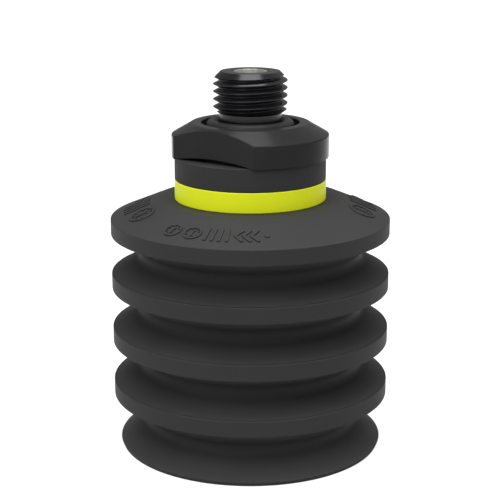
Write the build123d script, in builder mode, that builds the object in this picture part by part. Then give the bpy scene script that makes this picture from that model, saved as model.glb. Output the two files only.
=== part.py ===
from build123d import *
import math
import os

os.makedirs("parts", exist_ok=True)

# A bellows suction cup, in millimetres. The lip stands on z = 0 and the thread points up.
# Radii are measured from the cup's own axis, which is Z.

# Rubber moulding, outside
lip_r = 24.0
lip_edge = 0.72           # height of the lip's thin outer edge
lip_land = 0.5            # width of the flat ring that touches the work
lip_undercut = 0.3        # how far that ring lies inside the lip's widest line
rim_r = 25.02
rim_band = 2.74           # height of a rim's upright edge
rim_count = 3
rim_gap = 7.22            # open height between two rims
first_rim_z = 9.38        # underside of the lowest rim
valley_r = 18.0
valley_round = 1.1
flange_r = 25.04
flange_band = 2.7
flange_rise = 3.4         # rise of the top flange's cone, from its edge to the land round the neck
land_width = 3.4          # of that land, outside the lock ring
land_round = 3.0
edge_round = 0.3

# Rubber moulding, inside
rim_wall = 2.2
valley_wall = 2.4
valley_land = 2.4         # height of the flat on the inner side of each valley
flange_wall = 3.2
inner_round = 0.7
roof_drop = 1.0           # depth of the roof's inner edge below the neck's foot

# Filter that is pressed into the nipple's bore
port_r = 2.83
sleeve_wall = 0.37
sleeve_length = 12.3
sleeve_drop = 0.15        # depth of the sleeve's end below the end face
mesh_thickness = 0.3
mesh_ledge = 0.6          # width of the step in the bore that the mesh lies on

# Threaded nipple: a standard quarter-inch parallel pipe thread, kept here as its crest cylinder
thread_r = 6.578
thread_length = 6.7
nipple_stand = 8.95       # height of the end face above the seal face
end_chamfer = 1.298
relief_depth = 0.998
relief_taper = 0.6
shank_ease = 0.022        # from the thread's crests out to the plain shank below it
collar_step = 0.7
collar_height = 1.5
mouth_chamfer = 0.45
bore_chamfer = 0.5

# Seal ring in its groove round the nipple's root
seal_section = 2.2
seal_ease = 0.05          # from the relief out to the ring's inside
groove_ease = 0.86        # from the ring's outside out to the groove's wall
groove_depth = 1.7

# Spigot of the wrench body, which the neck grips
spigot_wall = 0.7         # from the nipple's collar out to the spigot
spigot_stand = 0.8        # length that stands out below the cup's roof
spigot_chamfer = 0.4
barb_step = 1.4
barb_offset = 1.6         # from the roof's inner edge up to the barb's thin end
barb_taper = 1.6
barb_height = 2.6

# Lock ring, and the groove in the rubber neck that it sits in
neck_wall = 2.1           # rubber between the barb and the ring
ring_wall = 2.03
ring_height = 3.62
ring_round = 0.15

# Bead of the neck above the lock ring
bead_inset = 0.03         # from the lock ring's outside in to the bead's
bead_height = 4.08

# Wrench body
body_overhang = 0.5       # from the bead's outside out to the body's
body_band = 4.05          # height of the body's upright wall
body_cone = 30.0          # slope of the body's upper cone, in degrees
seal_face_width = 1.69
underside_tilt = 14.5     # slope of the body's hollow underside, in degrees
shoulder_width = 2.0      # of the flat that the bead's inner edge meets
across_flats = 22.0

# Radii that follow from the sizes above
sleeve_r = port_r + sleeve_wall
bore_r = sleeve_r - mesh_ledge
relief_r = thread_r - relief_depth
end_face_r = thread_r - end_chamfer
shank_r = thread_r + shank_ease
collar_r = shank_r + collar_step
seal_outer_r = relief_r + seal_ease + seal_section
groove_r = seal_outer_r + groove_ease
seal_face_r = groove_r + seal_face_width
spigot_r = collar_r + spigot_wall
barb_r = spigot_r + barb_step
shoulder_r = spigot_r + shoulder_width
ring_seat_r = barb_r + neck_wall
ring_r = ring_seat_r + ring_wall
land_r = ring_r + land_width
bead_r = ring_r - bead_inset
body_r = bead_r + body_overhang

# Heights that follow from them
rim_pitch = rim_band + rim_gap
rim_lows = [first_rim_z + i * rim_pitch for i in range(rim_count)]
flange_low = first_rim_z + rim_count * rim_pitch
flange_top = flange_low + flange_band
neck_foot = flange_top + flange_rise
ring_top = neck_foot + ring_height
bead_top = ring_top + bead_height
roof_z = neck_foot - roof_drop
spigot_low = roof_z - spigot_stand
barb_low = roof_z + barb_offset
barb_full = barb_low + barb_taper
barb_top = barb_low + barb_height
tilt_slope = math.tan(math.radians(underside_tilt))
body_low = bead_top - (body_r - bead_r) * tilt_slope
shoulder_top = bead_top + (bead_r - shoulder_r) * tilt_slope
body_shoulder = body_low + body_band
seal_face = body_shoulder + (body_r - seal_face_r) * math.tan(math.radians(body_cone))
groove_floor = seal_face - groove_depth
end_face = seal_face + nipple_stand
thread_low = end_face - thread_length
sleeve_top = end_face - sleeve_drop
sleeve_low = sleeve_top - sleeve_length
mesh_low = sleeve_low - mesh_thickness

# Upper and lower edges of each rim, with the lip below them and the flange above
band_lows = rim_lows + [flange_low]
band_highs = [lip_edge] + [low + rim_band for low in rim_lows]
valley_zs = [(low + high) / 2 for low, high in zip(band_lows, band_highs)]

# The contour that the neck and the spigot share, from the roof up to the bead's top
grip_contour = [
    (spigot_r, roof_z),
    (spigot_r, barb_low),
    (barb_r, barb_full),
    (barb_r, barb_top),
    (spigot_r, barb_top),
    (spigot_r, bead_top),
]

# Outside of the moulding, from the lip up to the bead
outer_contour = [(lip_r - lip_undercut, 0), (lip_r, lip_edge)]
for i, low in enumerate(rim_lows):
    outer_contour.append((valley_r, valley_zs[i]))
    outer_contour.append((rim_r, low))
    outer_contour.append((rim_r, low + rim_band))
outer_contour += [
    (valley_r, valley_zs[rim_count]),
    (flange_r, flange_low),
    (flange_r, flange_top),
    (land_r, neck_foot),
    (ring_seat_r, neck_foot),
    (ring_seat_r, ring_top),
    (bead_r, ring_top),
    (bead_r, bead_top),
]

# Inside of the moulding, from the lip's flat up to the roof
inner_valley_r = valley_r - valley_wall
inner_rim_r = rim_r - rim_wall
inner_flange_r = flange_r - flange_wall
inner_contour = [(lip_r - lip_undercut - lip_land, 0)]
for i, z in enumerate(valley_zs):
    inner_contour.append((inner_valley_r, z - valley_land / 2))
    inner_contour.append((inner_valley_r, z + valley_land / 2))
    if i < rim_count:
        inner_contour.append((inner_rim_r, rim_lows[i] + rim_band / 2))
inner_contour.append((inner_flange_r, flange_low + flange_band / 2))


def at_radius(corners, radius, low, high):
    """Corners of a section that lie at one radius, between two heights."""
    return [v for v in corners if abs(v.X - radius) < 0.001 and low < v.Y < high]


# One piece of rubber: lip, three convolutions, flange and neck
with BuildPart() as bellows_cup:
    with BuildSketch(Plane.XZ) as cup_section:
        with BuildLine():
            Polyline(*inner_contour, *grip_contour, *reversed(outer_contour), close=True)
        make_face()
        fillet(at_radius(cup_section.vertices(), valley_r, 0, neck_foot), valley_round)
        fillet(at_radius(cup_section.vertices(), rim_r, 0, flange_low), edge_round)
        fillet(at_radius(cup_section.vertices(), flange_r, 0, neck_foot), edge_round)
        fillet(at_radius(cup_section.vertices(), land_r, 0, bead_top), land_round)
        fillet(at_radius(cup_section.vertices(), inner_valley_r, 0, neck_foot), inner_round)
        fillet(at_radius(cup_section.vertices(), inner_rim_r, 0, flange_low), inner_round)
        fillet(at_radius(cup_section.vertices(), inner_flange_r, 0, neck_foot), inner_round)
    revolve(axis=Axis.Z)
bellows_cup.part.label = "bellows_cup"
export_step(bellows_cup.part, "parts/bellows_cup.step")

# The coloured ring that closes the neck on to the spigot's barb
with BuildPart() as lock_ring:
    with BuildSketch(Plane.XZ) as ring_section:
        with Locations(((ring_seat_r + ring_r) / 2, (neck_foot + ring_top) / 2)):
            Rectangle(ring_r - ring_seat_r, ring_height)
        fillet(at_radius(ring_section.vertices(), ring_r, 0, bead_top), ring_round)
    revolve(axis=Axis.Z)
lock_ring.part.label = "lock_ring"
export_step(lock_ring.part, "parts/lock_ring.step")

# The body with two wrench flats, its seal groove above and its barbed spigot below
with BuildPart() as wrench_body:
    with BuildSketch(Plane.XZ) as body_section:
        with BuildLine():
            Polyline(
                (collar_r, spigot_low),
                (spigot_r - spigot_chamfer, spigot_low),
                (spigot_r, spigot_low + spigot_chamfer),
                *grip_contour[1:],
                (shoulder_r, bead_top),
                (shoulder_r, shoulder_top),
                (body_r, body_low),
                (body_r, body_shoulder),
                (seal_face_r, seal_face),
                (groove_r, seal_face),
                (groove_r, groove_floor),
                (shank_r, groove_floor),
                (shank_r, spigot_low + collar_height),
                (collar_r, spigot_low + collar_height),
                close=True,
            )
        make_face()
    revolve(axis=Axis.Z)
    split(bisect_by=Plane.XZ.offset(across_flats / 2), keep=Keep.BOTTOM)
    split(bisect_by=Plane.XZ.offset(-across_flats / 2), keep=Keep.TOP)
wrench_body.part.label = "wrench_body"
export_step(wrench_body.part, "parts/wrench_body.step")

# The metal nipple, from its collar under the body to the threaded end
with BuildPart() as threaded_nipple:
    with BuildSketch(Plane.XZ) as nipple_section:
        with BuildLine():
            Polyline(
                (bore_r + bore_chamfer, spigot_low),
                (collar_r, spigot_low),
                (collar_r, spigot_low + collar_height),
                (shank_r, spigot_low + collar_height),
                (shank_r, groove_floor),
                (relief_r, groove_floor),
                (relief_r, thread_low - relief_taper),
                (thread_r, thread_low),
                (thread_r, end_face - end_chamfer),
                (end_face_r, end_face),
                (sleeve_r + mouth_chamfer, end_face),
                (sleeve_r, end_face - mouth_chamfer),
                (sleeve_r, mesh_low),
                (bore_r, mesh_low),
                (bore_r, spigot_low + bore_chamfer),
                close=True,
            )
        make_face()
    revolve(axis=Axis.Z)
threaded_nipple.part.label = "threaded_nipple"
export_step(threaded_nipple.part, "parts/threaded_nipple.step")

# The seal ring lies on the groove's floor and stands proud of the seal face
with BuildPart() as seal_ring:
    with BuildSketch(Plane.XZ):
        with Locations((seal_outer_r - seal_section / 2, groove_floor + seal_section / 2)):
            Circle(seal_section / 2)
    revolve(axis=Axis.Z)
seal_ring.part.label = "seal_ring"
export_step(seal_ring.part, "parts/seal_ring.step")

# The filter's metal sleeve
with BuildPart() as filter_sleeve:
    with BuildSketch(Plane.XZ):
        with Locations(((port_r + sleeve_r) / 2, (sleeve_low + sleeve_top) / 2)):
            Rectangle(sleeve_r - port_r, sleeve_length)
    revolve(axis=Axis.Z)
filter_sleeve.part.label = "filter_sleeve"
export_step(filter_sleeve.part, "parts/filter_sleeve.step")

# The mesh disc that the sleeve holds on the bore's step
with BuildPart() as filter_mesh:
    with BuildSketch(Plane.XY.offset(mesh_low)):
        Circle(sleeve_r)
    extrude(amount=mesh_thickness)
filter_mesh.part.label = "filter_mesh"
export_step(filter_mesh.part, "parts/filter_mesh.step")
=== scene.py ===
import math

import bmesh
import bpy
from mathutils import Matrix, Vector


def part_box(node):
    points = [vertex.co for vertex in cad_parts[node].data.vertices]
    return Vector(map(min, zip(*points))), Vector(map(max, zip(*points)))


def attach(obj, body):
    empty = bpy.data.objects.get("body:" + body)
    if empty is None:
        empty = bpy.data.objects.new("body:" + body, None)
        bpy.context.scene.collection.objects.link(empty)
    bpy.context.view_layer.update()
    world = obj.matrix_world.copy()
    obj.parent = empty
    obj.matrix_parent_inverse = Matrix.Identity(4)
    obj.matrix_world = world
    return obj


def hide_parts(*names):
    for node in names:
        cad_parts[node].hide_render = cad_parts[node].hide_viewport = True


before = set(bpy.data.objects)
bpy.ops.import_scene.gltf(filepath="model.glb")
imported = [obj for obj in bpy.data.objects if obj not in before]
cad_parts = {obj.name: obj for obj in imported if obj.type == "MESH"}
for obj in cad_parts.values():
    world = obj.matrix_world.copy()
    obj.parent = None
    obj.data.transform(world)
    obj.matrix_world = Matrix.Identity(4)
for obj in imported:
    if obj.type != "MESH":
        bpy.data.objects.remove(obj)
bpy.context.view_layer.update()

# A bellows suction cup, in metres. In the dictionaries, angles are degrees, and lengths are millimetres
# for the pieces and metres for the looks, studio, lamps and camera.
mm = 0.001
touch = 0.001  # places nearer to each other than this are the same, in millimetres


def nodeBox(node):
    low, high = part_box(node)
    return low / mm, high / mm


# Helpers for modelling

def deselectAll():
    bpy.ops.object.select_all(action="DESELECT")


def roundCorners(corners, steps=4):
    # corners are (radius, height, rounding) of a closed section; rounded ones become arcs
    points = []
    for i, (radius, height, rounding) in enumerate(corners):
        here = Vector((radius, height))
        if rounding == 0:
            points.append((radius, height))
            continue
        before = (Vector(corners[i - 1][:2]) - here).normalized()
        after = (Vector(corners[(i + 1) % len(corners)][:2]) - here).normalized()
        half = before.angle(after) / 2
        centre = here + (before + after).normalized() * rounding / math.sin(half)
        start = here + before * rounding / math.tan(half) - centre
        end = here + after * rounding / math.tan(half) - centre
        sweep = start.angle(end)
        for k in range(steps + 1):
            share = k / steps
            spoke = start * math.sin((1 - share) * sweep) + end * math.sin(share * sweep)
            points.append(tuple(centre + spoke / math.sin(sweep)))
    return points


def pullRing(section):
    # the selected ring of edges is pulled from point to point of a section, and leaves a wall behind it
    for (fromRadius, fromHeight), (radius, height) in zip(section, section[1:]):
        rise = (height - fromHeight) * mm
        bpy.ops.mesh.extrude_region_move(TRANSFORM_OT_translate={"value": (0, 0, rise)})
        scale = radius / fromRadius
        bpy.ops.transform.resize(value=(scale, scale, 1), center_override=(0, 0, height * mm))


def closeUp(gap=0.002):
    # doubles merged and faces turned outwards
    bpy.ops.mesh.select_all(action="SELECT")
    bpy.ops.mesh.remove_doubles(threshold=gap * mm)
    bpy.ops.mesh.normals_make_consistent(inside=False)


def turnPiece(name, section, segments):
    # a piece of revolution: one circle pulled round its closed section
    deselectAll()
    radius, height = section[0]
    bpy.ops.mesh.primitive_circle_add(vertices=segments, radius=radius * mm, location=(0, 0, height * mm))
    piece = bpy.context.object
    piece.name = name
    piece.data.name = name
    bpy.ops.object.transform_apply(location=True, rotation=True, scale=True)
    bpy.ops.object.mode_set(mode="EDIT")
    bpy.ops.mesh.select_all(action="SELECT")
    pullRing(section + [section[0]])
    closeUp()
    bpy.ops.object.mode_set(mode="OBJECT")
    return piece


def selectEdges(piece, wanted):
    # in edit mode, the edges whose two ends both pass a test on their place in millimetres
    bpy.ops.mesh.select_all(action="DESELECT")
    mesh = bmesh.from_edit_mesh(piece.data)
    for edge in mesh.edges:
        if all(wanted(vert.co / mm) for vert in edge.verts):
            edge.select_set(True)
    bmesh.update_edit_mesh(piece.data)


def joinPieces(pieces, main):
    deselectAll()
    for piece in pieces:
        piece.select_set(True)
    bpy.context.view_layer.objects.active = main
    bpy.ops.object.join()
    return main


def finishPiece(piece, node, material, smoothAngle=35, faceWeight=80):
    deselectAll()
    piece.select_set(True)
    bpy.context.view_layer.objects.active = piece
    bpy.ops.object.shade_smooth_by_angle(angle=math.radians(smoothAngle))
    weigh = piece.modifiers.new("evenNormals", "WEIGHTED_NORMAL")
    weigh.keep_sharp = True
    weigh.weight = faceWeight
    bpy.ops.object.modifier_apply(modifier="evenNormals")
    piece.data.materials.clear()
    piece.data.materials.append(material)
    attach(piece, "root")
    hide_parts(node)
    print(piece.name, "made,", len(piece.data.polygons), "faces")


# Shared effects, as node groups

def newGroup(name, inputs, outputs):
    group = bpy.data.node_groups.new(name, "ShaderNodeTree")
    for label, kind, value in inputs:
        socket = group.interface.new_socket(name=label, in_out="INPUT", socket_type=kind)
        if value is not None:
            socket.default_value = value
    for label, kind in outputs:
        group.interface.new_socket(name=label, in_out="OUTPUT", socket_type=kind)
    entry = group.nodes.new("NodeGroupInput")
    leave = group.nodes.new("NodeGroupOutput")
    return group, entry, leave


def mathNode(tree, operation, first, second=None):
    node = tree.nodes.new("ShaderNodeMath")
    node.operation = operation
    for socket, value in zip(node.inputs, (first, second)):
        if isinstance(value, (int, float)):
            socket.default_value = value
        elif value is not None:
            tree.links.new(value, socket)
    return node.outputs[0]


def makeGrainGroup():
    # fine moulded texture, and a slow cloudy change of tone; Size is the grain in metres
    group, entry, leave = newGroup(
        "mouldGrain",
        [("Vector", "NodeSocketVector", None), ("Size", "NodeSocketFloat", 0.0002),
         ("Cloud Size", "NodeSocketFloat", 0.012)],
        [("Height", "NodeSocketFloat"), ("Cloud", "NodeSocketFloat")],
    )
    fine = group.nodes.new("ShaderNodeTexNoise")
    fine.inputs["Detail"].default_value = 3
    fine.inputs["Roughness"].default_value = 0.65
    cloud = group.nodes.new("ShaderNodeTexNoise")
    cloud.inputs["Detail"].default_value = 4
    for noise, size in ((fine, "Size"), (cloud, "Cloud Size")):
        group.links.new(entry.outputs["Vector"], noise.inputs["Vector"])
        group.links.new(mathNode(group, "DIVIDE", 1.0, entry.outputs[size]), noise.inputs["Scale"])
    group.links.new(fine.outputs["Fac"], leave.inputs["Height"])
    group.links.new(cloud.outputs["Fac"], leave.inputs["Cloud"])
    return group


def radiusOf(tree, parts):
    # distance from the Z axis, out of separate coordinates
    squareX = mathNode(tree, "MULTIPLY", parts.outputs["X"], parts.outputs["X"])
    squareY = mathNode(tree, "MULTIPLY", parts.outputs["Y"], parts.outputs["Y"])
    return mathNode(tree, "SQRT", mathNode(tree, "ADD", squareX, squareY))


def makeTurningGroup():
    # lines left by a lathe, round the Z axis; Pitch is their spacing in metres
    group, entry, leave = newGroup(
        "latheLines",
        [("Vector", "NodeSocketVector", None), ("Pitch", "NodeSocketFloat", 0.00008)],
        [("Height", "NodeSocketFloat")],
    )
    parts = group.nodes.new("ShaderNodeSeparateXYZ")
    group.links.new(entry.outputs["Vector"], parts.inputs[0])
    along = mathNode(group, "ADD", radiusOf(group, parts), parts.outputs["Z"])
    line = group.nodes.new("ShaderNodeTexNoise")
    line.noise_dimensions = "1D"
    line.inputs["Detail"].default_value = 2
    group.links.new(mathNode(group, "DIVIDE", along, entry.outputs["Pitch"]), line.inputs["W"])
    line.inputs["Scale"].default_value = 1
    group.links.new(line.outputs["Fac"], leave.inputs["Height"])
    return group


grainGroup = makeGrainGroup()
turningGroup = makeTurningGroup()
print("shared effects ready")


# Materials

noiseSpan = {"low": 0.3, "high": 0.7}  # nearly all of a noise texture's values lie in it


def newMaterial(name, look):
    material = bpy.data.materials.new(name)
    material.use_nodes = True
    shader = material.node_tree.nodes["Principled BSDF"]
    shader.inputs["Specular IOR Level"].default_value = look["level"]
    place = material.node_tree.nodes.new("ShaderNodeTexCoord")
    return material, material.node_tree, shader, place.outputs["Object"]


def addGroup(tree, group, place, values):
    node = tree.nodes.new("ShaderNodeGroup")
    node.node_tree = group
    tree.links.new(place, node.inputs["Vector"])
    for label, value in values.items():
        node.inputs[label].default_value = value
    return node


def addGrain(tree, place, look):
    return addGroup(tree, grainGroup, place, {"Size": look["grain"], "Cloud Size": look["cloud"]})


def addParts(tree, place):
    parts = tree.nodes.new("ShaderNodeSeparateXYZ")
    tree.links.new(place, parts.inputs[0])
    return parts


def blendColours(tree, factor, first, second):
    ramp = tree.nodes.new("ShaderNodeValToRGB")
    ramp.color_ramp.elements[0].position = noiseSpan["low"]
    ramp.color_ramp.elements[0].color = (*first, 1)
    ramp.color_ramp.elements[1].position = noiseSpan["high"]
    ramp.color_ramp.elements[1].color = (*second, 1)
    tree.links.new(factor, ramp.inputs["Fac"])
    return ramp.outputs["Color"]


def climbValues(tree, value, start, end, low, high):
    # goes from low to high as the value goes from start to end
    climb = tree.nodes.new("ShaderNodeMapRange")
    climb.inputs["From Min"].default_value = start
    climb.inputs["From Max"].default_value = end
    climb.inputs["To Min"].default_value = low
    climb.inputs["To Max"].default_value = high
    tree.links.new(value, climb.inputs["Value"])
    return climb.outputs["Result"]


def toneColour(tree, colour, tone):
    toned = tree.nodes.new("ShaderNodeVectorMath")
    toned.operation = "SCALE"
    tree.links.new(colour, toned.inputs[0])
    tree.links.new(tone, toned.inputs["Scale"])
    return toned.outputs[0]


def dressShader(tree, shader, look, colour, glossNoise, height):
    # a colour, a roughness that wanders with a noise, and fine relief
    rough = climbValues(tree, glossNoise, noiseSpan["low"], noiseSpan["high"], *look["rough"])
    tree.links.new(colour, shader.inputs["Base Color"])
    tree.links.new(rough, shader.inputs["Roughness"])
    bump = tree.nodes.new("ShaderNodeBump")
    bump.inputs["Distance"].default_value = look["bump"]
    tree.links.new(height, bump.inputs["Height"])
    tree.links.new(bump.outputs["Normal"], shader.inputs["Normal"])


def makeCupRubber():
    look = {
        "dark": (0.0245, 0.0245, 0.0249), "light": (0.029, 0.029, 0.0292), "cloud": 0.015,
        "level": 0.14, "rough": (0.58, 0.68), "grain": 0.00016, "bump": 0.00001,
        # the lip's paleness set here is painted light, not a real change in the rubber's colour
        "lipFrom": 6.5 * mm, "lipTo": 2.0 * mm, "lipPaintedLight": 1.3,
    }
    material, tree, shader, place = newMaterial("cupRubber", look)
    grain = addGrain(tree, place, look)
    colour = blendColours(tree, grain.outputs["Cloud"], look["dark"], look["light"])
    # painted light: the lip's colour is made a little paler, up to 30 %, from 6.5 mm down to 2 mm,
    # standing in for light that the lamps bring too little of there
    height = addParts(tree, place).outputs["Z"]
    tone = climbValues(tree, height, look["lipFrom"], look["lipTo"], 1.0, look["lipPaintedLight"])
    dressShader(tree, shader, look, toneColour(tree, colour, tone), grain.outputs["Cloud"],
                grain.outputs["Height"])
    return material


def makeGrained(name, look):
    # a moulded finish: one colour with a slow cloud in it, under a fine grain
    material, tree, shader, place = newMaterial(name, look)
    grain = addGrain(tree, place, look)
    colour = blendColours(tree, grain.outputs["Cloud"], look["dark"], look["light"])
    dressShader(tree, shader, look, colour, grain.outputs["Cloud"], grain.outputs["Height"])
    return material


def makeBodyPlastic():
    look = {
        "dark": (0.0155, 0.0155, 0.016), "light": (0.0195, 0.0195, 0.02), "cloud": 0.008,
        "level": 0.056, "rough": (0.12, 0.16), "grain": 0.00012, "bump": 0.000006,
    }
    return makeGrained("bodyPlastic", look)


def makeRingPlastic():
    look = {
        "dark": (0.635, 0.70, 0.010), "light": (0.675, 0.735, 0.014), "cloud": 0.006,
        "level": 0.12, "rough": (0.4, 0.5), "grain": 0.0002, "bump": 0.000006,
    }
    return makeGrained("ringPlastic", look)


def makeSealRubber():
    look = {
        "dark": (0.014, 0.014, 0.014), "light": (0.019, 0.019, 0.019), "cloud": 0.002,
        "level": 0.2, "rough": (0.34, 0.42), "grain": 0.0001, "bump": 0.000004,
    }
    return makeGrained("sealRubber", look)


def makeNippleMetal():
    look = {
        "dark": (0.004, 0.004, 0.0045), "light": (0.006, 0.006, 0.0065), "cloud": 0.003,
        "level": 0.4, "tint": (0.94, 0.93, 1.0), "rough": (0.17, 0.25), "grain": 0.00008,
        "turning": 0.00007, "bump": 0.000003,
    }
    material, tree, shader, place = newMaterial("nippleMetal", look)
    shader.inputs["Specular Tint"].default_value = (*look["tint"], 1)
    grain = addGrain(tree, place, look)
    lines = addGroup(tree, turningGroup, place, {"Pitch": look["turning"]})
    colour = blendColours(tree, grain.outputs["Cloud"], look["dark"], look["light"])
    dressShader(tree, shader, look, colour, lines.outputs["Height"], lines.outputs["Height"])
    return material


def makeFilterSteel():
    look = {
        "deep": (0.36, 0.365, 0.33), "pale": (0.74, 0.75, 0.70), "cloud": 0.0012,
        "level": 0.5, "metallic": 0.7, "rough": (0.5, 0.6), "grain": 0.00025, "bump": 0.000003,
        # the darkening of the sleeve's end set here is painted shade on the steel's colour
        "stretch": 0.08, "endFrom": 2.86 * mm, "endTo": 2.92 * mm, "endPaintedShade": 0.2,
    }
    material, tree, shader, place = newMaterial("filterSteel", look)
    shader.inputs["Metallic"].default_value = look["metallic"]
    stretch = tree.nodes.new("ShaderNodeMapping")
    stretch.inputs["Scale"].default_value = (1, 1, look["stretch"])
    tree.links.new(place, stretch.inputs["Vector"])
    streaks = addGrain(tree, stretch.outputs["Vector"], look)
    colour = blendColours(tree, streaks.outputs["Cloud"], look["deep"], look["pale"])
    # painted shade: the sleeve's rolled end is darkened in colour, which hides the highlight that its
    # upward face catches
    radius = radiusOf(tree, addParts(tree, place))
    tone = climbValues(tree, radius, look["endFrom"], look["endTo"], 1.0, look["endPaintedShade"])
    dressShader(tree, shader, look, toneColour(tree, colour, tone), streaks.outputs["Height"],
                streaks.outputs["Height"])
    return material


cupRubber = makeCupRubber()
bodyPlastic = makeBodyPlastic()
ringPlastic = makeRingPlastic()
nippleMetal = makeNippleMetal()
sealRubber = makeSealRubber()
filterSteel = makeFilterSteel()
print("materials ready")

# Heights and radii that the pieces share, read from the frame
ringLow, ringHigh = nodeBox("lock_ring")
cupHigh = nodeBox("bellows_cup")[1]
bodyLow, bodyHigh = nodeBox("wrench_body")
nippleLow, nippleHigh = nodeBox("threaded_nipple")
sealLow, sealHigh = nodeBox("seal_ring")
sleeveLow, sleeveHigh = nodeBox("filter_sleeve")
meshLow, meshHigh = nodeBox("filter_mesh")
neckFoot = ringLow.z
ringTop = ringHigh.z
ringRadius = ringHigh.x
beadTop = cupHigh.z
sealFace = bodyHigh.z
endFace = nippleHigh.z

# The barbed spigot that the neck grips, from the roof up to the bead's top
grip = {
    "spigotRadius": 8.0, "barbRadius": 9.4, "roofDrop": 1.0, "barbOffset": 1.6, "barbTaper": 1.6,
    "barbHeight": 2.6, "seatRadius": 11.5, "beadInset": 0.03,
}
roofHeight = neckFoot - grip["roofDrop"]
barbLow = roofHeight + grip["barbOffset"]
gripCorners = [
    (grip["spigotRadius"], roofHeight, 0),
    (grip["spigotRadius"], barbLow, 0),
    (grip["barbRadius"], barbLow + grip["barbTaper"], 0),
    (grip["barbRadius"], barbLow + grip["barbHeight"], 0),
    (grip["spigotRadius"], barbLow + grip["barbHeight"], 0),
    (grip["spigotRadius"], beadTop, 0),
]
beadRadius = ringRadius - grip["beadInset"]

# The rubber moulding: lip, three convolutions, flange and neck
cup = {
    "segments": 240, "arcSteps": 5,
    "lipRadius": 24.0, "lipEdge": 0.72, "lipLand": 0.5, "lipUndercut": 0.3,
    "rimRadius": 25.02, "rimBand": 2.74, "rimCount": 3, "rimGap": 7.22, "firstRim": 9.38,
    "valleyRadius": 18.0, "valleyRound": 1.6, "flangeBand": 2.7, "edgeRound": 0.15,
    "landWidth": 3.4, "landRound": 3.0, "creaseFrom": 0.24, "creaseTo": 0.38, "creaseDepth": 0.07,
    "rimWall": 2.2, "valleyWall": 2.4, "valleyLand": 2.4, "flangeWall": 3.2, "innerRound": 0.7,
    "lipRound": 0.15, "beadRound": 0.12,
}
flangeLow = cup["firstRim"] + cup["rimCount"] * (cup["rimBand"] + cup["rimGap"])
flangeTop = flangeLow + cup["flangeBand"]
landRadius = ringRadius + cup["landWidth"]

# Raised mould marks on the flange's cone: angles run from the side that faces the camera
marks = {
    "rise": 0.2, "sink": 0.1, "bevel": 0.05, "bevelSteps": 2, "cuts": 3, "sharpAngle": 40.0,
    "frontAngle": -54.0,
    "dial": {"segments": 48, "hoopWall": 0.8, "stemWidth": 0.6, "stemLength": 0.34, "stemDown": 0.08,
             "headWidth": 0.26, "headDown": 0.14, "ticks": 8, "tickWidth": 0.2, "tickLength": 0.7,
             "tickInset": 1.1},
    "chevron": {"arm": 0.62, "lean": 40, "spread": 0.21},
    "front": {"radius": 21.5, "tall": 3.4, "bar": 0.5, "dials": (-37.0, -26.5), "bars": 4,
              "barsFrom": -19.5, "barStep": 3.2, "chevrons": (-5.0, -1.5, 2.0), "dotAngle": 7.5,
              "dotWidth": 0.9, "dotSides": 20},
    "around": {"radius": 20.3, "tall": 5.0, "bar": 0.7, "starts": ((-68.0, -1), (76.0, 1), (170.0, 1)),
               "bars": 4, "barsFrom": 12.0, "barStep": 4.2, "arrowFrom": 32.0, "arrowWidth": 3.0},
}
markDepth = marks["rise"] + marks["sink"]
arrowTurn = -30  # turns a three-sided prism to point along the mark


def placeBlock(turn, across, down):
    # the new block is turned, moved to its place in the flat mark and given soft upper edges
    block = bpy.context.object
    bpy.ops.transform.rotate(value=math.radians(turn), orient_axis="Z", center_override=(0, 0, 0))
    bpy.ops.transform.translate(value=(across * mm, down * mm, (markDepth / 2 - marks["sink"]) * mm))
    bpy.ops.object.transform_apply(location=True, rotation=True, scale=True)
    bpy.ops.object.mode_set(mode="EDIT")
    bpy.ops.mesh.select_all(action="SELECT")
    bpy.ops.mesh.subdivide(number_cuts=marks["cuts"])
    selectEdges(block, lambda place: place.z > marks["rise"] - touch)
    mesh = bmesh.from_edit_mesh(block.data)
    for edge in mesh.edges:
        edge.select_set(edge.select and edge.calc_face_angle(0) > math.radians(marks["sharpAngle"]))
    bmesh.update_edit_mesh(block.data)
    bpy.ops.mesh.bevel(offset=marks["bevel"] * mm, segments=marks["bevelSteps"], profile=0.5)
    bpy.ops.object.mode_set(mode="OBJECT")
    return block


def makeBar(width, length, turn=0.0, across=0.0, down=0.0):
    deselectAll()
    bpy.ops.mesh.primitive_cube_add(size=mm)
    bpy.ops.transform.resize(value=(width, length, markDepth))
    return placeBlock(turn, across, down)


def makePrism(sides, width, turn=0.0, down=0.0):
    deselectAll()
    bpy.ops.mesh.primitive_cylinder_add(vertices=sides, radius=width / 2 * mm, depth=markDepth * mm)
    return placeBlock(turn, 0.0, down)


def makeHoop(diameter, wall):
    outer = diameter / 2
    inner = outer - wall
    top = marks["rise"]
    edge = marks["bevel"]
    section = [(inner, -marks["sink"]), (outer, -marks["sink"]), (outer, top - edge), (outer - edge, top),
               (inner + edge, top), (inner, top - edge)]
    return turnPiece("hoop", section, marks["dial"]["segments"])


def makeDial(tall, bar):
    # a date dial: a hoop with its ticks and an arrow
    dial = marks["dial"]
    blocks = [
        makeHoop(tall, bar * dial["hoopWall"]),
        makeBar(bar * dial["stemWidth"], tall * dial["stemLength"], down=tall * dial["stemDown"]),
        makePrism(3, tall * dial["headWidth"], turn=arrowTurn, down=-tall * dial["headDown"]),
    ]
    reach = tall / 2 - bar * dial["tickInset"]
    for k in range(dial["ticks"]):
        turn = (k + 0.5) * 360 / dial["ticks"]
        across = reach * math.cos(math.radians(turn))
        down = reach * math.sin(math.radians(turn))
        blocks.append(makeBar(dial["tickWidth"], bar * dial["tickLength"], turn - 90, across, down))
    return blocks


def makeChevron(tall, bar):
    chevron = marks["chevron"]
    arm = tall * chevron["arm"]
    return [makeBar(bar, arm, turn=side * chevron["lean"], down=side * tall * chevron["spread"])
            for side in (-1, 1)]


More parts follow.
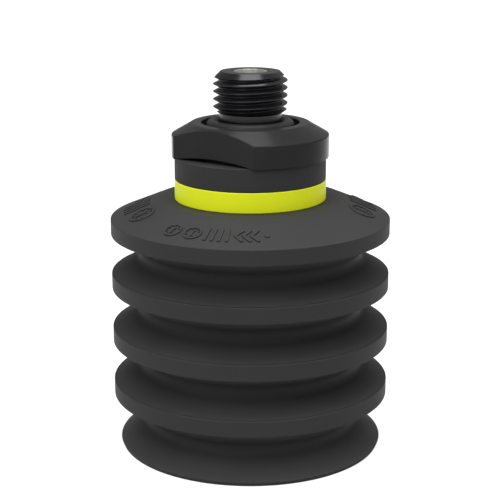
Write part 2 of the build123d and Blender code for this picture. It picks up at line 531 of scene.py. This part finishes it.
def layMark(blocks, radius, angle):
    # the flat mark is laid on the cone, about one radius and angle
    slope = math.atan((neckFoot - flangeTop) / (cupHigh.x - landRadius))
    for block in blocks:
        for vert in block.data.vertices:
            across, down, rise = vert.co / mm
            reach = radius + down * math.cos(slope)
            surface = flangeTop + (cupHigh.x - reach) * math.tan(slope)
            turn = math.radians(marks["frontAngle"] + angle) + across / reach
            reach += rise * math.sin(slope)
            height = surface + rise * math.cos(slope)
            vert.co = Vector((reach * math.cos(turn), reach * math.sin(turn), height)) * mm
    return blocks


def makeFrontMarks():
    front = marks["front"]
    radius = front["radius"]
    made = []
    for angle in front["dials"]:
        made += layMark(makeDial(front["tall"], front["bar"]), radius, angle)
    for k in range(front["bars"]):
        angle = front["barsFrom"] + front["barStep"] * k
        made += layMark([makeBar(front["bar"], front["tall"])], radius, angle)
    for angle in front["chevrons"]:
        made += layMark(makeChevron(front["tall"], front["bar"]), radius, angle)
    made += layMark([makePrism(front["dotSides"], front["dotWidth"])], radius, front["dotAngle"])
    return made


def makeMarksAround():
    around = marks["around"]
    radius = around["radius"]
    made = []
    for start, side in around["starts"]:
        made += layMark(makeDial(around["tall"], around["bar"]), radius, start)
        for k in range(around["bars"]):
            angle = start + side * (around["barsFrom"] + around["barStep"] * k)
            made += layMark([makeBar(around["bar"], around["tall"])], radius, angle)
        made += layMark([makePrism(3, around["arrowWidth"], turn=arrowTurn)], radius,
                        start + side * around["arrowFrom"])
    return made


def makeCrease(rimTop):
    # the mould's fine parting line, cut into the slope just above a rim
    climb = cup["rimGap"] / 2
    slope = Vector((cup["valleyRadius"] - cup["rimRadius"], climb)).normalized()
    into = Vector((-slope.y, slope.x))
    edge = Vector((cup["rimRadius"], rimTop))
    inner = edge + slope * cup["creaseTo"]
    outer = edge + slope * cup["creaseFrom"]
    depth = into * cup["creaseDepth"]
    return [(*place, 0) for place in (outer, outer + depth, inner + depth, inner)]


def makeBellowsCup():
    flangeRadius = cupHigh.x
    rimLows = [cup["firstRim"] + i * (cup["rimBand"] + cup["rimGap"]) for i in range(cup["rimCount"])]
    bandLows = rimLows + [flangeLow]
    bandHighs = [cup["lipEdge"]] + [low + cup["rimBand"] for low in rimLows]
    valleys = [(low + high) / 2 for low, high in zip(bandLows, bandHighs)]
    landInside = cup["lipRadius"] - cup["lipUndercut"] - cup["lipLand"]
    inside = [(landInside, 0, 0)]
    for i, valley in enumerate(valleys):
        radius = cup["valleyRadius"] - cup["valleyWall"]
        inside.append((radius, valley - cup["valleyLand"] / 2, cup["innerRound"]))
        inside.append((radius, valley + cup["valleyLand"] / 2, cup["innerRound"]))
        if i < cup["rimCount"]:
            middle = rimLows[i] + cup["rimBand"] / 2
            inside.append((cup["rimRadius"] - cup["rimWall"], middle, cup["innerRound"]))
    inside.append((flangeRadius - cup["flangeWall"], flangeLow + cup["flangeBand"] / 2, cup["innerRound"]))
    outside = [
        (cup["lipRadius"] - cup["lipUndercut"], 0, 0),
        (cup["lipRadius"], cup["lipEdge"], cup["lipRound"]),
    ]
    for low, valley in zip(rimLows, valleys):
        outside.append((cup["valleyRadius"], valley, cup["valleyRound"]))
        outside.append((cup["rimRadius"], low, cup["edgeRound"]))
        outside.append((cup["rimRadius"], low + cup["rimBand"], cup["edgeRound"]))
        outside += makeCrease(low + cup["rimBand"])
    outside += [
        (cup["valleyRadius"], valleys[-1], cup["valleyRound"]),
        (flangeRadius, flangeLow, cup["edgeRound"]),
        (flangeRadius, flangeTop, cup["edgeRound"]),
        (landRadius, neckFoot, cup["landRound"]),
        (grip["seatRadius"], neckFoot, 0),
        (grip["seatRadius"], ringTop, 0),
        (beadRadius, ringTop, cup["beadRound"]),
        (beadRadius, beadTop, cup["beadRound"]),
    ]
    section = roundCorners(inside + gripCorners + outside[::-1], cup["arcSteps"])
    piece = turnPiece("bellowsCup", section, cup["segments"])
    joinPieces(makeFrontMarks() + makeMarksAround() + [piece], piece)
    finishPiece(piece, "bellows_cup", cupRubber)


makeBellowsCup()

# The lime ring that closes the neck on to the barb
lock = {"segments": 240, "edgeRound": 0.18, "arcSteps": 4}


def makeLockRing():
    corners = [
        (grip["seatRadius"], ringLow.z, 0),
        (ringRadius, ringLow.z, lock["edgeRound"]),
        (ringRadius, ringHigh.z, lock["edgeRound"]),
        (grip["seatRadius"], ringHigh.z, 0),
    ]
    piece = turnPiece("lockRing", roundCorners(corners, lock["arcSteps"]), lock["segments"])
    finishPiece(piece, "lock_ring", ringPlastic)


makeLockRing()

# The body with its two wrench flats
body = {
    "segments": 128, "collarHeight": 1.5, "collarRadius": 7.3, "shankRadius": 6.6, "spigotChamfer": 0.4,
    "shoulderRadius": 10.0, "undersideTilt": 14.5, "band": 4.05, "cone": 30.0, "grooveRadius": 8.69,
    "edgeRound": 0.2, "roundSteps": 3, "sharpAngle": 12.0,
}


def makeWrenchBody():
    outer = bodyHigh.x
    flat = bodyHigh.y
    slope = math.tan(math.radians(body["undersideTilt"]))
    lowEdge = beadTop - (outer - beadRadius) * slope
    shoulder = beadTop + (beadRadius - body["shoulderRadius"]) * slope
    coneFoot = lowEdge + body["band"]
    faceRadius = outer - (sealFace - coneFoot) / math.tan(math.radians(body["cone"]))
    grooveFloor = sealLow.z
    spigotLow = bodyLow.z
    collarTop = spigotLow + body["collarHeight"]
    section = [
        (body["collarRadius"], spigotLow),
        (grip["spigotRadius"] - body["spigotChamfer"], spigotLow),
        (grip["spigotRadius"], spigotLow + body["spigotChamfer"]),
        *[corner[:2] for corner in gripCorners[1:]],
        (body["shoulderRadius"], beadTop),
        (body["shoulderRadius"], shoulder),
        (outer, lowEdge),
        (outer, coneFoot),
        (faceRadius, sealFace),
        (body["grooveRadius"], sealFace),
        (body["grooveRadius"], grooveFloor),
        (body["shankRadius"], grooveFloor),
        (body["shankRadius"], collarTop),
        (body["collarRadius"], collarTop),
    ]
    piece = turnPiece("wrenchBody", section, body["segments"])
    bpy.ops.object.mode_set(mode="EDIT")
    for side in (-1, 1):
        bpy.ops.mesh.select_all(action="SELECT")
        bpy.ops.mesh.bisect(plane_co=(0, side * flat * mm, 0), plane_no=(0, side, 0),
                            use_fill=True, clear_outer=True)
    near = 0.01  # how far an edge may lie from its surface

    def onSharpEdge(place):
        radius = math.hypot(place.x, place.y)
        onFlat = abs(abs(place.y) - flat) < near
        onWall = abs(radius - outer) < near
        onFace = abs(place.z - sealFace) < near
        return onFlat or (onWall and place.z > lowEdge - near) or onFace

    selectEdges(piece, onSharpEdge)
    mesh = bmesh.from_edit_mesh(piece.data)
    sharp = math.radians(body["sharpAngle"])
    for edge in mesh.edges:
        if edge.select and (not edge.is_manifold or edge.calc_face_angle() < sharp):
            edge.select_set(False)
    bmesh.update_edit_mesh(piece.data)
    bpy.ops.mesh.bevel(offset=body["edgeRound"] * mm, segments=body["roundSteps"], profile=0.5,
                       clamp_overlap=False)
    bpy.ops.mesh.select_all(action="SELECT")
    bpy.ops.mesh.normals_make_consistent(inside=False)
    bpy.ops.object.mode_set(mode="OBJECT")
    finishPiece(piece, "wrench_body", bodyPlastic)


makeWrenchBody()

# The nipple: a right-hand pipe thread on a turned blank
nipple = {
    "steps": 160, "crestRadius": 6.578, "pitch": 25.4 / 19, "halfAngle": 27.5, "depth": 0.998,
    "crestAngle": 216.0, "crestHeight": 64.45, "turns": 8, "turnsBelow": 4, "arcSteps": 4,
    "length": 6.7, "endRadius": 5.28, "reliefTaper": 0.6, "boreRadius": 2.6, "boreChamfer": 0.5,
    "mouthChamfer": 0.15, "mergeGap": 0.006,
}
threadRoot = nipple["crestRadius"] - nipple["depth"]
threadLow = endFace - nipple["length"]
reliefTop = threadLow - nipple["reliefTaper"]
chamferFoot = endFace - (nipple["crestRadius"] - nipple["endRadius"])


def blankRadius(height):
    # of the turned blank that the thread is cut into
    lower = threadRoot + (height - reliefTop) * nipple["depth"] / nipple["reliefTaper"]
    return min(nipple["crestRadius"], lower, nipple["crestRadius"] - (height - chamferFoot))


def threadLine():
    # one side view of the thread as (radius, height), pitch after pitch, with arcs at crest and root
    half = math.radians(nipple["halfAngle"])
    spare = nipple["pitch"] / 2 - nipple["depth"] * math.tan(half)
    rounding = spare / (math.cos(half) - (1 - math.sin(half)) * math.tan(half)) / 2
    lift = math.pi / 2 - half
    arc = [-lift + 2 * lift * k / nipple["arcSteps"] for k in range(nipple["arcSteps"] + 1)]
    line = []
    for turn in range(nipple["turns"]):
        middle = turn * nipple["pitch"]
        for angle in arc:
            line.append((nipple["crestRadius"] - rounding * (1 - math.cos(angle)),
                         middle + rounding * math.sin(angle)))
        for angle in arc:
            line.append((threadRoot + rounding * (1 - math.cos(angle)),
                         middle + nipple["pitch"] / 2 + rounding * math.sin(angle)))
    return line, rounding


def windThread(line):
    # a circle is opened to a chain, laid along the thread's side view and wound up
    deselectAll()
    bpy.ops.mesh.primitive_circle_add(vertices=len(line), radius=nipple["crestRadius"] * mm)
    piece = bpy.context.object
    piece.name = "threadedNipple"
    piece.data.name = "threadedNipple"
    bpy.ops.object.mode_set(mode="EDIT")
    bpy.ops.mesh.select_all(action="DESELECT")
    mesh = bmesh.from_edit_mesh(piece.data)
    mesh.verts.ensure_lookup_table()
    for edge in mesh.edges:
        ends = sorted(vert.index for vert in edge.verts)
        edge.select_set(ends == [0, len(line) - 1])
    bpy.ops.mesh.delete(type="EDGE_FACE")
    mesh = bmesh.from_edit_mesh(piece.data)
    mesh.verts.ensure_lookup_table()
    startHeight = nipple["crestHeight"] - nipple["turnsBelow"] * nipple["pitch"]
    angle = math.radians(nipple["crestAngle"])
    for vert, (radius, height) in zip(mesh.verts, line):
        vert.co = Vector((radius * math.cos(angle), radius * math.sin(angle), startHeight + height)) * mm
    bmesh.update_edit_mesh(piece.data)
    bpy.ops.object.mode_set(mode="OBJECT")
    screw = piece.modifiers.new("thread", "SCREW")
    screw.axis = "Z"
    screw.angle = math.tau
    screw.screw_offset = nipple["pitch"] * mm
    screw.steps = nipple["steps"]
    screw.render_steps = nipple["steps"]
    screw.use_smooth_shade = True
    bpy.ops.object.modifier_apply(modifier="thread")
    return piece


def trimThread(piece, rounding):
    # vertices outside the blank slide down their own flank to its surface
    pitch = nipple["pitch"]
    half = math.radians(nipple["halfAngle"])
    footRadius = threadRoot + rounding * (1 - math.sin(half))
    footOffset = pitch / 2 - rounding * math.cos(half)
    for vert in piece.data.vertices:
        place = vert.co / mm
        angle = (math.atan2(place.y, place.x) - math.radians(nipple["crestAngle"])) % math.tau
        radius = math.hypot(place.x, place.y)
        height = place.z
        phase = (height - nipple["crestHeight"]) / pitch - angle / math.tau
        offset = (phase - round(phase)) * pitch
        foot = height - offset + math.copysign(footOffset, offset)
        over = radius - blankRadius(height)
        footOver = footRadius - blankRadius(foot)
        if over > 0 and footOver < 0 and abs(offset) < footOffset:
            share = over / (over - footOver)
            radius += (footRadius - radius) * share
            height += (foot - height) * share
        height = min(max(height, reliefTop), endFace)
        radius = min(radius, blankRadius(height))
        theta = math.atan2(place.y, place.x)
        vert.co = Vector((radius * math.cos(theta), radius * math.sin(theta), height)) * mm
    bpy.ops.object.mode_set(mode="EDIT")
    bpy.ops.mesh.select_all(action="SELECT")
    bpy.ops.mesh.remove_doubles(threshold=nipple["mergeGap"] * mm)
    bpy.ops.mesh.dissolve_degenerate(threshold=touch * mm)
    # both open ends are trued up
    mesh = bmesh.from_edit_mesh(piece.data)
    for vert in mesh.verts:
        if not vert.is_boundary:
            continue
        atFoot = vert.co.z / mm < threadLow
        radius, height = (threadRoot, reliefTop) if atFoot else (nipple["endRadius"], endFace)
        theta = math.atan2(vert.co.y, vert.co.x)
        vert.co = Vector((radius * math.cos(theta), radius * math.sin(theta), height)) * mm
    bmesh.update_edit_mesh(piece.data)


def makeThreadedNipple():
    line, rounding = threadLine()
    piece = windThread(line)
    trimThread(piece, rounding)
    # the rest of the section is pulled on from the thread's lower end
    selectEdges(piece, lambda place: abs(place.z - reliefTop) < touch)
    collarTop = nippleLow.z + body["collarHeight"]
    pullRing([
        (threadRoot, reliefTop),
        (threadRoot, sealLow.z),
        (body["shankRadius"], sealLow.z),
        (body["shankRadius"], collarTop),
        (nippleHigh.x, collarTop),
        (nippleHigh.x, nippleLow.z),
        (nipple["boreRadius"] + nipple["boreChamfer"], nippleLow.z),
        (nipple["boreRadius"], nippleLow.z + nipple["boreChamfer"]),
        (nipple["boreRadius"], meshLow.z),
        (sleeveHigh.x, meshLow.z),
        (sleeveHigh.x, endFace - nipple["mouthChamfer"]),
        (sleeveHigh.x + nipple["mouthChamfer"], endFace),
        (nipple["endRadius"], endFace),
    ])
    closeUp()
    bpy.ops.object.mode_set(mode="OBJECT")
    finishPiece(piece, "threaded_nipple", nippleMetal, smoothAngle=30)


makeThreadedNipple()

# The seal ring, with the fine line of its mould round the outside and the inside
seal = {"segments": 192, "steps": 28, "flashHeight": 0.02}


def makeSealRing():
    tube = (sealHigh.z - sealLow.z) / 2
    middle = sealHigh.x - tube
    section = []
    for k in range(seal["steps"]):
        angle = math.tau * k / seal["steps"]
        reach = tube - seal["flashHeight"] * (0 if k % (seal["steps"] // 2) == 0 else 1)
        section.append((middle + reach * math.cos(angle), sealLow.z + tube + reach * math.sin(angle)))
    piece = turnPiece("sealRing", section, seal["segments"])
    finishPiece(piece, "seal_ring", sealRubber, smoothAngle=60)


makeSealRing()

# The filter's sleeve, with its end rolled smooth
sleeve = {"segments": 128, "boreRadius": 2.83, "endRound": 0.12, "endRise": 0.13, "arcSteps": 3}


def makeFilterSleeve():
    top = sleeveHigh.z + sleeve["endRise"]
    corners = [
        (sleeve["boreRadius"], sleeveLow.z, 0),
        (sleeveHigh.x, sleeveLow.z, 0),
        (sleeveHigh.x, top, sleeve["endRound"]),
        (sleeve["boreRadius"], top, sleeve["endRound"]),
    ]
    piece = turnPiece("filterSleeve", roundCorners(corners, sleeve["arcSteps"]), sleeve["segments"])
    finishPiece(piece, "filter_sleeve", filterSteel)


makeFilterSleeve()

# The filter's woven wires
wires = {"pitch": 0.4, "diameter": 0.13, "sides": 6, "stepsPerPitch": 4, "fewestSteps": 4}


def makeWire(row, turn, reach):
    # one wire along X, or along Y when turned, that passes over and under the others
    middle = (meshLow.z + meshHigh.z) / 2
    rise = (meshHigh.z - meshLow.z - wires["diameter"]) / 2
    steps = max(wires["fewestSteps"], round(2 * reach / wires["pitch"] * wires["stepsPerPitch"]))
    deselectAll()
    bpy.ops.mesh.primitive_cylinder_add(vertices=wires["sides"], radius=wires["diameter"] / 2 * mm,
                                        depth=2 * reach * mm, rotation=(0, math.pi / 2, 0))
    wire = bpy.context.object
    bpy.ops.object.transform_apply(location=True, rotation=True, scale=True)
    bpy.ops.object.mode_set(mode="EDIT")
    mesh = bmesh.from_edit_mesh(wire.data)
    lengthwise = [edge for edge in mesh.edges
                  if abs(edge.verts[0].co.x - edge.verts[1].co.x) > reach * mm]
    bmesh.ops.subdivide_edges(mesh, edges=lengthwise, cuts=steps - 1, use_grid_fill=False)
    for vert in mesh.verts:
        along = vert.co.x / mm
        wave = math.cos(math.pi * (along / wires["pitch"] + row + turn))
        vert.co.z += (middle + rise * wave) * mm
        vert.co.y += row * wires["pitch"] * mm
        if turn:
            vert.co.x, vert.co.y = vert.co.y, vert.co.x
    mesh.normal_update()
    bmesh.update_edit_mesh(wire.data)
    bpy.ops.mesh.select_all(action="SELECT")
    bpy.ops.mesh.normals_make_consistent(inside=False)
    bpy.ops.object.mode_set(mode="OBJECT")
    return wire


def makeFilterMesh():
    radius = meshHigh.x
    count = int(radius / wires["pitch"])
    made = []
    for turn in (0, 1):
        for row in range(-count, count + 1):
            reach = math.sqrt(radius ** 2 - (row * wires["pitch"]) ** 2) - wires["diameter"] / 2
            if reach >= wires["pitch"]:
                made.append(makeWire(row, turn, reach))
    piece = joinPieces(made, made[0])
    piece.name = "filterMesh"
    piece.data.name = "filterMesh"
    finishPiece(piece, "filter_mesh", filterSteel, smoothAngle=50)


makeFilterMesh()

# Studio: floor, world and lamps
studio = {
    "floorSize": 8.0, "floorDrop": 0.00002, "glow": 0.8, "floorTone": 0.24, "bounceTone": 0.34,
    "mirroredTone": 0.6, "skyRise": 0.3, "skyLow": 0.38, "skyHigh": 2.6, "mirroredLow": 0.15,
    "mirroredHigh": 0.36, "mirroredRise": 0.5, "mirroredTurn": 36.0, "mirroredLean": 0.5, "seenSky": 1.0,
    "aimHeight": 0.035,
}


def addLightPath(tree):
    # two masks: what is seen straight from the camera or through clear things, and what is mirrored
    path = tree.nodes.new("ShaderNodeLightPath")
    direct = mathNode(tree, "MAXIMUM", path.outputs["Is Camera Ray"], path.outputs["Is Transmission Ray"])
    return direct, path.outputs["Is Glossy Ray"]


def addDiffuse(tree, tone):
    diffuse = tree.nodes.new("ShaderNodeBsdfDiffuse")
    diffuse.inputs["Color"].default_value = (tone, tone, tone, 1)
    return diffuse.outputs[0]


def mixShaders(tree, factor, first, second):
    mix = tree.nodes.new("ShaderNodeMixShader")
    for socket, value in zip(mix.inputs, (factor, first, second)):
        tree.links.new(value, socket)
    return mix.outputs[0]


def makeFloor():
    deselectAll()
    bpy.ops.mesh.primitive_plane_add(size=studio["floorSize"], location=(0, 0, -studio["floorDrop"]))
    floor = bpy.context.object
    floor.name = "floor"
    material = bpy.data.materials.new("floorWhite")
    material.use_nodes = True
    tree = material.node_tree
    tree.nodes.clear()
    output = tree.nodes.new("ShaderNodeOutputMaterial")
    direct, mirrored = addLightPath(tree)
    # the camera sees a white glow, with the cup's shadow on what the faint floor adds to it
    glow = tree.nodes.new("ShaderNodeEmission")
    glow.inputs["Strength"].default_value = studio["glow"]
    seen = tree.nodes.new("ShaderNodeAddShader")
    tree.links.new(addDiffuse(tree, studio["floorTone"]), seen.inputs[0])
    tree.links.new(glow.outputs[0], seen.inputs[1])
    unseen = mixShaders(tree, mirrored, addDiffuse(tree, studio["bounceTone"]),
                        addDiffuse(tree, studio["mirroredTone"]))
    above = mixShaders(tree, direct, unseen, seen.outputs[0])
    # from below, the floor is clear
    side = tree.nodes.new("ShaderNodeNewGeometry")
    clear = tree.nodes.new("ShaderNodeBsdfTransparent")
    both = mixShaders(tree, side.outputs["Backfacing"], above, clear.outputs[0])
    tree.links.new(both, output.inputs["Surface"])
    floor.data.materials.append(material)


def mixValues(tree, factor, first, second):
    mix = tree.nodes.new("ShaderNodeMix")
    tree.links.new(factor, mix.inputs["Factor"])
    tree.links.new(first, mix.inputs["A"])
    if isinstance(second, (int, float)):
        mix.inputs["B"].default_value = second
    else:
        tree.links.new(second, mix.inputs["B"])
    return mix.outputs["Result"]


def makeWorld():
    world = bpy.data.worlds.new("studioWorld")
    bpy.context.scene.world = world
    world.use_nodes = True
    tree = world.node_tree
    tree.nodes.clear()
    output = tree.nodes.new("ShaderNodeOutputWorld")
    sky = tree.nodes.new("ShaderNodeBackground")
    sky.inputs["Color"].default_value = (1, 1, 1, 1)
    place = tree.nodes.new("ShaderNodeTexCoord")
    parts = addParts(tree, place.outputs["Generated"])
    height = parts.outputs["Z"]  # 0 at the horizon and 1 at the zenith
    lit = climbValues(tree, height, studio["skyRise"], 1.0, studio["skyLow"], studio["skyHigh"])
    # reflections see a dimmer sky, and it leans: it is darkest on the side left of the camera
    dim = climbValues(tree, height, 0.0, studio["mirroredRise"], studio["mirroredLow"],
                      studio["mirroredHigh"])
    turn = math.radians(studio["mirroredTurn"])
    alongX = mathNode(tree, "MULTIPLY", parts.outputs["X"], studio["mirroredLean"] * math.cos(turn))
    alongY = mathNode(tree, "MULTIPLY", parts.outputs["Y"], studio["mirroredLean"] * math.sin(turn))
    lean = mathNode(tree, "ADD", mathNode(tree, "ADD", alongX, alongY), 1.0)
    direct, mirrored = addLightPath(tree)
    unseen = mixValues(tree, mirrored, lit, mathNode(tree, "MULTIPLY", dim, lean))
    tree.links.new(mixValues(tree, direct, unseen, studio["seenSky"]), sky.inputs["Strength"])
    tree.links.new(sky.outputs[0], output.inputs["Surface"])


# Lamps: azimuth 0 is on the -Y side and 90 on the +X side, as for the camera; sizes are in metres
lamps = {
    "overheadBox": {"azimuth": 216, "elevation": 86.5, "distance": 0.8, "size": 0.58, "power": 4.4,
                    "mirrored": True},
    "keyBox": {"azimuth": 0, "elevation": 42, "distance": 1.0, "size": 0.8, "power": 3.15,
               "mirrored": True},
    "frontBox": {"azimuth": 24, "elevation": 60, "distance": 1.0, "size": 0.9, "power": 1.6,
                 "mirrored": False},
}


def addSoftbox(name, azimuth, elevation, distance, size, power, mirrored):
    # a round softbox that faces the cup
    aim = Vector((0, 0, studio["aimHeight"]))
    turn = math.radians(azimuth)
    rise = math.radians(elevation)
    away = Vector((math.sin(turn) * math.cos(rise), -math.cos(turn) * math.cos(rise), math.sin(rise)))
    deselectAll()
    bpy.ops.object.light_add(type="AREA", location=aim + away * distance)
    lamp = bpy.context.object
    lamp.name = name
    lamp.data.shape = "DISK"
    lamp.data.size = size
    lamp.data.energy = power
    lamp.visible_camera = False
    lamp.visible_glossy = mirrored
    lamp.rotation_mode = "QUATERNION"
    lamp.rotation_quaternion = away.to_track_quat("Z", "Y")


makeFloor()
makeWorld()
for name, lamp in lamps.items():
    addSoftbox(name, **lamp)
print("studio ready")

# The camera, at the photograph's viewing angle
view = {"place": (0.141517, -0.194871, 0.09809), "tilt": 75.447, "turn": 36.0, "lens": 98.91}
bpy.ops.object.camera_add(location=view["place"],
                          rotation=(math.radians(view["tilt"]), 0, math.radians(view["turn"])))
camera = bpy.context.object
camera.data.lens = view["lens"]
camera.data.sensor_width = 36
camera.data.clip_start = 0.01
bpy.context.scene.camera = camera
bpy.context.scene.view_settings.view_transform = "Standard"
